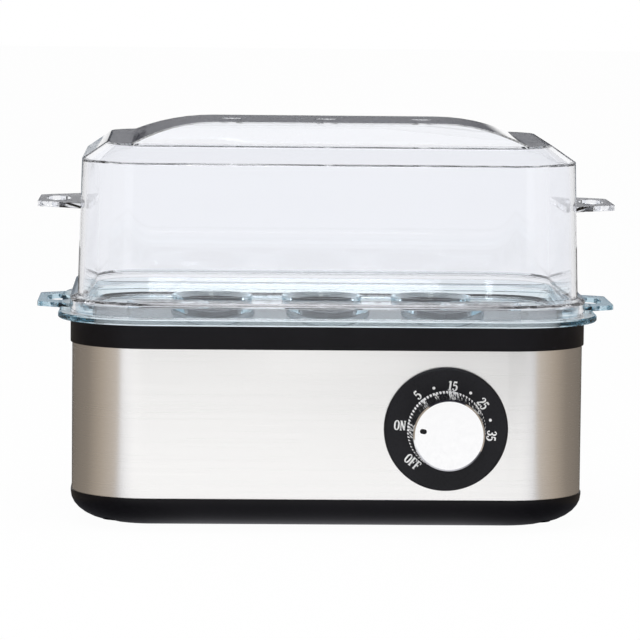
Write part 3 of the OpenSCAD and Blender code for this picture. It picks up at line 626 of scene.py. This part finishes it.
class EGGCOOKER_OT_timer(FinishOperator, bpy.types.Operator):
    """Finishes the clockwork timer behind the dial"""

    bl_idname = "eggcooker.timer"
    bl_label = "Timer"

    def dress(self, cooker):
        wear(["timer_case"], fired_ceramic("timer_plastic", TIMER_IVORY))
        wear(["timer_bush", "timer_tabs", "timer_cam"], plain_metal("timer_brass", BRASS, roughness=0.28))
        zinc = plain_metal("timer_zinc", ZINC, roughness=0.26)
        wear(["timer_plate", "timer_bolts", "timer_bell", "bell_nut"], zinc)
        wear(["timer_shaft", "shaft_clip", "panel_screws"], zinc)


class EGGCOOKER_OT_knob(FinishOperator, bpy.types.Operator):
    """Gives the knob its chrome and fills its pointer mark"""

    bl_idname = "eggcooker.knob"
    bl_label = "Knob"

    SEGMENTS = 32
    OFF_MIDDLE = 0.0001 * MM

    def dress(self, cooker):
        wear(["knob"], bright_chrome("chrome", cooker.colours.chrome))
        dial = cooker.dial
        shape = bmesh.new()
        bmesh.ops.create_circle(shape, cap_ends=True, segments=self.SEGMENTS, radius=dial.mark_width / 2)
        reach = (dial.mark_length - dial.mark_width) / 2
        for side in (-1, 1):
            half = [v for v in shape.verts if v.co.x * side > self.OFF_MIDDLE]
            bmesh.ops.translate(shape, verts=half, vec=(side * reach, 0, 0))
        lifted = bmesh.ops.extrude_face_region(shape, geom=shape.faces[:])
        bmesh.ops.translate(
            shape, verts=[v for v in lifted["geom"] if isinstance(v, bmesh.types.BMVert)],
            vec=(0, 0, dial.mark_depth))
        bmesh.ops.recalc_face_normals(shape, faces=shape.faces)
        face = front_of("knob", behind=dial.mark_recess + dial.mark_depth)
        shape.transform(face @ dial_spot(dial.mark_angle, dial.mark_out, dial.mark_angle))
        fill = moulded_plastic("mark_fill", cooker.colours.pointer, roughness=0.4)
        add_piece("knob_mark", shape, fill, "knob")


class EGGCOOKER_OT_feet(FinishOperator, bpy.types.Operator):
    """Finishes the rubber feet and the screws of the base"""

    bl_idname = "eggcooker.feet"
    bl_label = "Feet and Screws"

    def dress(self, cooker):
        wear(["rubber_feet"], soft_rubber("foot_rubber", FOOT_RUBBER))
        wear(["base_screws"], plain_metal("screw_zinc", SCREW_ZINC, roughness=0.34))


# Width of a letter, and its strokes from point to point: place, and thickness against the thick stroke. The
# letters are one high. A stroke that ends where it starts is closed.
LETTERS = {
    "1": (0.42, [
        [(0.23, 0.04, 1.0), (0.23, 0.96, 1.0)], [(0.04, 0.04, 0.5), (0.42, 0.04, 0.5)],
        [(0.23, 0.95, 0.6), (0.05, 0.84, 0.5)],
    ]),
    "2": (0.5, [
        [(0.09, 0.72, 0.9), (0.1, 0.84, 0.6), (0.26, 0.96, 0.5), (0.43, 0.83, 0.9), (0.42, 0.62, 1.0),
         (0.24, 0.34, 0.8), (0.06, 0.07, 0.6)],
        [(0.06, 0.07, 0.9), (0.44, 0.07, 0.9)], [(0.45, 0.07, 0.5), (0.49, 0.24, 0.4)],
    ]),
    "3": (0.5, [
        [(0.09, 0.77, 0.9), (0.12, 0.89, 0.6), (0.26, 0.96, 0.5), (0.42, 0.82, 0.95), (0.4, 0.62, 0.8),
         (0.2, 0.53, 0.5)],
        [(0.2, 0.53, 0.5), (0.41, 0.45, 0.8), (0.45, 0.24, 1.0), (0.26, 0.04, 0.5), (0.1, 0.1, 0.6),
         (0.08, 0.24, 0.9)],
    ]),
    "5": (0.5, [
        [(0.11, 0.91, 0.9), (0.44, 0.91, 0.9)], [(0.11, 0.91, 0.5), (0.09, 0.52, 0.5)],
        [(0.09, 0.52, 0.5), (0.27, 0.6, 0.6), (0.44, 0.45, 0.95), (0.42, 0.18, 0.95), (0.25, 0.04, 0.5),
         (0.1, 0.1, 0.6), (0.08, 0.24, 0.9)],
    ]),
    "O": (0.54, [
        [(0.27, 0.97, 0.5), (0.45, 0.8, 0.9), (0.48, 0.5, 1.0), (0.45, 0.2, 0.9), (0.27, 0.03, 0.5),
         (0.09, 0.2, 0.9), (0.06, 0.5, 1.0), (0.09, 0.8, 0.9), (0.27, 0.97, 0.5)],
    ]),
    "N": (0.62, [
        [(0.12, 0.03, 0.55), (0.12, 0.97, 0.55)], [(0.52, 0.03, 0.55), (0.52, 0.97, 0.55)],
        [(0.12, 0.95, 0.95), (0.52, 0.05, 0.95)], [(0.02, 0.03, 0.4), (0.24, 0.03, 0.4)],
        [(0.02, 0.97, 0.4), (0.2, 0.97, 0.4)], [(0.4, 0.97, 0.4), (0.62, 0.97, 0.4)],
    ]),
    "F": (0.52, [
        [(0.15, 0.03, 1.0), (0.15, 0.97, 1.0)], [(0.02, 0.96, 0.5), (0.49, 0.96, 0.5)],
        [(0.49, 0.96, 0.5), (0.5, 0.74, 0.4)], [(0.15, 0.51, 0.5), (0.38, 0.51, 0.5)],
        [(0.38, 0.62, 0.4), (0.38, 0.4, 0.4)], [(0.02, 0.03, 0.45), (0.3, 0.03, 0.45)],
    ]),
}
LETTER_GAP = 0.07
# Text, its angle on the dial, its distance from the dial's middle in mm and its own turn, seen from the front
DIAL_WORDS = [
    ("OFF", 224.6, 18.0, -40.0), ("ON", 175.2, 17.9, -5.0), ("5", 130.3, 17.4, 41.0),
    ("15", 82.2, 17.1, -7.6), ("25", 35.9, 17.4, -54.2), ("35", -7.4, 17.7, -97.5),
]
# Angle of a dot on the dial, and its distance from the dial's middle in mm
DIAL_DOTS = [(107.2, 16.8), (57.0, 17.0), (12.5, 17.4)]


class EGGCOOKER_OT_dial(FinishOperator, bpy.types.Operator):
    """Finishes the dial and prints its marks"""

    bl_idname = "eggcooker.dial"
    bl_label = "Dial"

    DOT_SEGMENTS = 24
    STROKE_STEPS = 6
    STROKE_ROUNDNESS = 2

    def dress(self, cooker):
        dial, colours = cooker.dial, cooker.colours
        wear(["dial_ring"], moulded_plastic("dial_plastic", colours.dial, roughness=0.3, grain=0.01 * MM))
        face = front_of("dial_ring")
        marks = bmesh.new()
        for words, angle, radius, turn in DIAL_WORDS:
            place = dial_spot(math.radians(angle), radius * MM, math.radians(turn))
            self.print_words(marks, dial, words, face @ place)
        for angle, radius in DIAL_DOTS:
            bmesh.ops.create_cone(
                marks, cap_ends=True, segments=self.DOT_SEGMENTS, radius1=dial.dot_size / 2,
                radius2=dial.dot_size / 2, depth=2 * dial.ink,
                matrix=face @ dial_spot(math.radians(angle), radius * MM, 0))
        add_piece("dial_marks", marks, printed_ink("dial_ink", colours.marks), "base")

    def print_words(self, marks, dial, words, place):
        """Adds a word to the marks, its letters as flattened strokes."""
        curve = bpy.data.curves.new("words", "CURVE")
        curve.dimensions = "3D"
        curve.bevel_depth = dial.stroke
        curve.bevel_resolution = self.STROKE_ROUNDNESS
        curve.resolution_u = self.STROKE_STEPS
        curve.use_fill_caps = True
        start = -(sum(LETTERS[c][0] for c in words) + LETTER_GAP * (len(words) - 1)) / 2
        for letter in words:
            width, strokes = LETTERS[letter]
            for points in strokes:
                self.draw_stroke(curve, points, start)
            start += width + LETTER_GAP
        drawn = bpy.data.objects.new("words", curve)
        bpy.context.scene.collection.objects.link(drawn)
        bpy.context.view_layer.update()
        solid = bpy.data.meshes.new_from_object(
            drawn.evaluated_get(bpy.context.evaluated_depsgraph_get()))
        height = dial.cap_height
        flatten = Matrix.Diagonal((dial.width_share * height, height, dial.ink / dial.stroke, 1))
        solid.transform(place @ flatten)
        marks.from_mesh(solid)
        bpy.data.objects.remove(drawn)
        bpy.data.curves.remove(curve)
        bpy.data.meshes.remove(solid)

    @staticmethod
    def draw_stroke(curve, points, start):
        """Adds a letter's stroke to a curve."""
        closed = points[0] == points[-1]
        line = curve.splines.new("BEZIER")
        line.use_cyclic_u = closed
        line.bezier_points.add(len(points) - (2 if closed else 1))
        for knot, (x, y, weight) in zip(line.bezier_points, points):
            knot.co = (start + x, y - 0.5, 0)
            knot.handle_left_type = knot.handle_right_type = "AUTO"
            knot.radius = weight


# Studio, with places in metres

PHOTO_PX = 640
SENSOR_WIDTH = 36.0
CLIP_RANGE = (0.01, 50.0)
CLEAR_BOUNCES = 48
SURROUND_LIGHT = 0.55
TABLE_HALF = 6.0
TABLE_DROP = 0.2 * MM
TABLE_GLOW = 0.97
TABLE_WHITE = (0.9, 0.9, 0.9)
LAMP_AIM = (0, 0, 0.07)

# Tones of the cards, as screen colours
WHITE = (255, 255, 255)
PALE = (214, 214, 214)
GREY = (150, 150, 150)
DEEP_GREY = (64, 64, 64)
SOOT = (20, 20, 20)
SLATE = (44, 44, 52)
EAR_BLUE = (128, 138, 148)
UNDER_MIDDLE = (196, 196, 202)
UNDER_ENDS = (96, 96, 102)

# A radial gradient's value straight to the front
RADIAL_FRONT = 0.25

# Heights and planes that cards share
CARD_LIFT = 0.1 * MM
CEILING = 1.5
FRONT_PLANE = -0.27
BACK_PLANE = 0.5
RIM_LINE = 0.096
LID_LINE = 0.146

# Flat cards: name, two opposite corners, the axis that the tone runs along, and tones at places on it
CARDS = [
    ("back_board", (-0.45, BACK_PLANE, 0.14), (0.45, BACK_PLANE, 0.27), "Z",
     [(LID_LINE, WHITE), (0.157, SLATE)]),
    ("ceiling", (-1.5, -1.5, CEILING), (1.5, 1.5, CEILING), "Y", [(-1.5, SLATE), (1.5, SLATE)]),
    ("front_card", (-0.2, FRONT_PLANE, RIM_LINE), (0.2, FRONT_PLANE, 0.3), "X",
     [(-0.2, GREY), (0.05, GREY), (0.085, DEEP_GREY), (0.2, SOOT)]),
    ("low_front_card", (-0.02, FRONT_PLANE, 0.05), (0.29, FRONT_PLANE, RIM_LINE), "X",
     [(-0.02, WHITE), (0.05, PALE), (0.1, GREY), (0.29, GREY)]),
    ("front_floor", (-0.5, -2.2, CARD_LIFT), (0.5, -0.6, CARD_LIFT), "Y", [(-1.3, GREY), (-0.6, WHITE)]),
    ("left_ear_card", (-0.3, BACK_PLANE, 0.09), (-0.114, BACK_PLANE, LID_LINE), "Z",
     [(0.09, EAR_BLUE), (LID_LINE, EAR_BLUE)]),
    ("right_ear_card", (0.143, BACK_PLANE, 0.09), (0.33, BACK_PLANE, LID_LINE), "Z",
     [(0.09, EAR_BLUE), (LID_LINE, EAR_BLUE)]),
]

# Painted contact shadow under the base: distances from the middle where its light stretch ends, and where its
# dark ends begin
UNDER_LIGHT = 0.05
UNDER_FADE = 0.085

# Beige room at both ends: tones by the angle, in degrees from the front, about a point in the band's corner
ROOM_TONES = [
    (20, WHITE), (36, (228, 228, 230)), (44, (208, 207, 208)), (46, (191, 182, 172)),
    (75, (165, 154, 141)), (102, (132, 123, 113)), (152, (114, 107, 99)), (164, (58, 55, 52)),
]
ROOM_POINT_IN = 0.02
ROOM_WALL = 0.75
ROOM_WALL_FRONT = -0.75
ROOM_HEIGHT = 1.1
ROOM_BACK = 1.4
ROOM_FLOOR_START = 0.06
ROOM_FLOOR_FRONT = -1.2


class EGGCOOKER_OT_stage(FinishOperator, bpy.types.Operator):
    """Sets up the floor, the white surround, the lamps and the camera"""

    bl_idname = "eggcooker.stage"
    bl_label = "Studio"

    def dress(self, cooker):
        self.surround()
        self.floor()
        self.cards()
        self.lamps(cooker.studio)
        self.camera(cooker.studio)
        scene = bpy.context.scene
        scene.view_settings.view_transform = "Standard"
        scene.cycles.max_bounces = CLEAR_BOUNCES
        scene.cycles.transmission_bounces = CLEAR_BOUNCES
        scene.cycles.glossy_bounces = CLEAR_BOUNCES

    @staticmethod
    def seen_directly(tree):
        """One for rays that show the background: seen, mirrored or through clear walls."""
        path = tree.nodes.new("ShaderNodeLightPath")
        shown = path.outputs["Is Camera Ray"]
        for ray in ("Is Glossy Ray", "Is Transmission Ray"):
            either = tree.nodes.new("ShaderNodeMath")
            either.operation = "MAXIMUM"
            tree.links.new(shown, either.inputs[0])
            tree.links.new(path.outputs[ray], either.inputs[1])
            shown = either.outputs[0]
        return shown

    def surround(self):
        """White where it is seen, softer where it only lights."""
        world = bpy.data.worlds.new("studio")
        bpy.context.scene.world = world
        world.use_nodes = True
        tree = world.node_tree
        shown = tree.nodes["Background"]
        light = tree.nodes.new("ShaderNodeBackground")
        for background, strength in ((shown, 1.0), (light, SURROUND_LIGHT)):
            background.inputs["Color"].default_value = (1, 1, 1, 1)
            background.inputs["Strength"].default_value = strength
        mix = tree.nodes.new("ShaderNodeMixShader")
        tree.links.new(self.seen_directly(tree), mix.inputs["Fac"])
        tree.links.new(light.outputs[0], mix.inputs[1])
        tree.links.new(shown.outputs[0], mix.inputs[2])
        tree.links.new(mix.outputs[0], tree.nodes["World Output"].inputs["Surface"])

    @staticmethod
    def put(name, shape, material):
        """Makes a stage object of a finished bmesh."""
        mesh = bpy.data.meshes.new(name)
        shape.to_mesh(mesh)
        shape.free()
        mesh.materials.append(material)
        made = bpy.data.objects.new(name, mesh)
        bpy.context.scene.collection.objects.link(made)
        made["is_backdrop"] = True
        return made

    def floor(self):
        """Wide white table top that keeps a faint shadow."""
        white = Finish("table_white").set(Base_Color=TABLE_WHITE, Roughness=0.7, Specular_IOR_Level=0.1)
        glow = white.node("ShaderNodeEmission")
        glow.inputs["Strength"].default_value = 1.0
        share = white.node("ShaderNodeMath", operation="MULTIPLY")
        share.inputs[1].default_value = TABLE_GLOW
        white.link(self.seen_directly(white.tree), share.inputs[0])
        mix = white.node("ShaderNodeMixShader")
        white.link(share.outputs[0], mix.inputs["Fac"])
        white.link(white.shader.outputs["BSDF"], mix.inputs[1])
        white.link(glow.outputs["Emission"], mix.inputs[2])
        white.link(mix.outputs["Shader"], white.output.inputs["Surface"])
        shape = bmesh.new()
        bmesh.ops.create_grid(shape, x_segments=1, y_segments=1, size=TABLE_HALF)
        table = self.put("table_top", shape, white.material)
        table.location.z = cad_box[0][2] - TABLE_DROP

    @staticmethod
    def card_paint(name, stops, along, about):
        """Glowing paint whose tone runs along an axis, or with the angle about a point."""
        paint = Finish(name)
        if about:
            side = math.copysign(1, about[0])
            turn = paint.node("ShaderNodeTexGradient", gradient_type="RADIAL")
            place = paint.coordinates((side, 1, 1), (-side * about[0], -about[1], 0))
            paint.link(place, turn.inputs["Vector"])
            value = turn.outputs["Fac"]
            stops = [(RADIAL_FRONT + degrees / 360, tone) for degrees, tone in stops]
        else:
            axes = paint.node("ShaderNodeSeparateXYZ")
            paint.link(paint.coordinates(), axes.inputs["Vector"])
            start, end = stops[0][0], stops[-1][0]
            value = paint.spread(axes.outputs[along], 0.0, 1.0, at=(start, end))
            stops = [((reach - start) / (end - start), tone) for reach, tone in stops]
        ramp = paint.node("ShaderNodeValToRGB")
        tones = ramp.color_ramp.elements
        while len(tones) < len(stops):
            tones.new(1.0)
        for element, (position, tone) in zip(tones, stops):
            element.position = position
            element.color = (*srgb(*tone), 1)
        paint.link(value, ramp.inputs["Fac"])
        glow = paint.node("ShaderNodeEmission")
        paint.link(ramp.outputs["Color"], glow.inputs["Color"])
        paint.link(glow.outputs["Emission"], paint.output.inputs["Surface"])
        return paint.material

    def card(self, name, low, high, stops, along="Y", about=None):
        """Flat card between two corners: only metal and clear plastic show it."""
        size = Vector(high) - Vector(low)
        shape = bmesh.new()
        bmesh.ops.create_grid(shape, x_segments=1, y_segments=1, size=0.5)
        if size.x == 0:
            bmesh.ops.rotate(shape, verts=shape.verts, matrix=Matrix.Rotation(math.pi / 2, 3, "Y"))
        if size.y == 0:
            bmesh.ops.rotate(shape, verts=shape.verts, matrix=Matrix.Rotation(math.pi / 2, 3, "X"))
        bmesh.ops.scale(shape, verts=shape.verts, vec=size)
        bmesh.ops.translate(shape, verts=shape.verts, vec=(Vector(low) + Vector(high)) / 2)
        made = self.put(name, shape, self.card_paint(name + "_paint", stops, along, about))
        made.visible_camera = False
        made.visible_diffuse = False
        made.visible_transmission = False
        made.visible_shadow = False

    def cards(self):
        """Cards that give the bright surfaces something to mirror."""
        for name, low, high, along, stops in CARDS:
            self.card(name, low, high, stops, along)
        # A dark card under the base is a painted contact shadow, darker towards the ends, which only metal and
        # clear plastic mirror
        low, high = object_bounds()
        under = [
            (low.x, UNDER_ENDS), (-UNDER_FADE, UNDER_ENDS), (-UNDER_LIGHT, UNDER_MIDDLE),
            (UNDER_LIGHT, UNDER_MIDDLE), (UNDER_FADE, UNDER_ENDS), (high.x, UNDER_ENDS),
        ]
        self.card("base_shade", (low.x, low.y, CARD_LIFT), (high.x, high.y, CARD_LIFT), under, along="X")
        low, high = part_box("steel_band")
        for name, edge in (("left", low.x), ("right", high.x)):
            side = math.copysign(1, edge)
            point = (edge - side * ROOM_POINT_IN, low.y + ROOM_POINT_IN)
            wall = side * ROOM_WALL
            first, last = sorted((wall, side * ROOM_FLOOR_START))
            self.card(
                name + "_board", (wall, ROOM_WALL_FRONT, 0), (wall, ROOM_BACK, ROOM_HEIGHT), ROOM_TONES,
                about=point)
            self.card(
                name + "_floor", (first, ROOM_FLOOR_FRONT, 0), (last, ROOM_BACK, 0), ROOM_TONES, about=point)

    @staticmethod
    def softbox(name, place, width, height, power):
        """Area lamp that faces the object."""
        lamp = bpy.data.lights.new(name, "AREA")
        lamp.shape = "RECTANGLE"
        lamp.size = width
        lamp.size_y = height
        lamp.energy = power
        made = bpy.data.objects.new(name, lamp)
        made.location = place
        made.rotation_mode = "QUATERNION"
        made.rotation_quaternion = (Vector(LAMP_AIM) - Vector(place)).to_track_quat("-Z", "Y")
        made.visible_camera = False
        made.visible_glossy = False
        bpy.context.scene.collection.objects.link(made)

    def lamps(self, studio):
        """Overhead and front softboxes."""
        self.softbox(
            "overhead", place=(0, -0.25, 1.3), width=1.4, height=1.0, power=studio.key_power)
        self.softbox(
            "front_strip", place=(0, -1.0, 0.75), width=0.25, height=0.6, power=studio.front_power)

    @staticmethod
    def camera(studio):
        """Camera at the photograph's angle."""
        azimuth, elevation, roll = studio.azimuth, studio.elevation, studio.roll
        level = Vector((math.cos(azimuth), math.sin(azimuth), 0))
        ahead = Vector((-math.sin(azimuth), math.cos(azimuth), 0))
        back = Vector((0, 0, math.sin(elevation))) - ahead * math.cos(elevation)
        rise = back.cross(level)
        right = level * math.cos(roll) + rise * math.sin(roll)
        up = rise * math.cos(roll) - level * math.sin(roll)
        body = Vector((0, middle("steel_band").y, 0))
        place = body + Vector(studio.target) + back * studio.distance
        lens = bpy.data.cameras.new("photo_camera")
        lens.sensor_width = SENSOR_WIDTH
        lens.lens = studio.focal_px / PHOTO_PX * SENSOR_WIDTH
        lens.clip_start, lens.clip_end = CLIP_RANGE
        made = bpy.data.objects.new("photo_camera", lens)
        turn = Matrix((right, up, back)).transposed().to_4x4()
        made.matrix_world = Matrix.Translation(place) @ turn
        bpy.context.scene.collection.objects.link(made)
        bpy.context.scene.camera = made


class EGGCOOKER_PT_panel(bpy.types.Panel):
    """Lists the steps and settings"""

    bl_label = "Egg Cooker"
    bl_idname = "EGGCOOKER_PT_panel"
    bl_space_type = "VIEW_3D"
    bl_region_type = "UI"
    bl_category = "Egg Cooker"

    def draw(self, context):
        cooker = context.scene.egg_cooker
        for group in (cooker.colours, cooker.edges, cooker.dial, cooker.studio):
            box = self.layout.box()
            for key in group.__annotations__:
                box.prop(group, key)
        for operator in OPERATORS:
            self.layout.operator(operator.bl_idname)


OPERATORS = (
    EGGCOOKER_OT_stage, EGGCOOKER_OT_mouldings, EGGCOOKER_OT_band, EGGCOOKER_OT_lid, EGGCOOKER_OT_tray,
    EGGCOOKER_OT_heater, EGGCOOKER_OT_wiring, EGGCOOKER_OT_timer, EGGCOOKER_OT_knob, EGGCOOKER_OT_dial,
    EGGCOOKER_OT_feet,
)
CLASSES = (FinishColours, SoftEdges, DialMarks, StudioView, EggCooker, *OPERATORS, EGGCOOKER_PT_panel)


def register():
    for cls in CLASSES:
        bpy.utils.register_class(cls)
    bpy.types.Scene.egg_cooker = PointerProperty(type=EggCooker)


def unregister():
    del bpy.types.Scene.egg_cooker
    for cls in reversed(CLASSES):
        bpy.utils.unregister_class(cls)


def main():
    register()
    bpy.ops.eggcooker.stage()
    bpy.ops.eggcooker.mouldings()
    bpy.ops.eggcooker.band()
    bpy.ops.eggcooker.lid()
    bpy.ops.eggcooker.tray()
    bpy.ops.eggcooker.heater()
    bpy.ops.eggcooker.wiring()
    bpy.ops.eggcooker.timer()
    bpy.ops.eggcooker.knob()
    bpy.ops.eggcooker.dial()
    bpy.ops.eggcooker.feet()


if __name__ == "__main__":
    main()
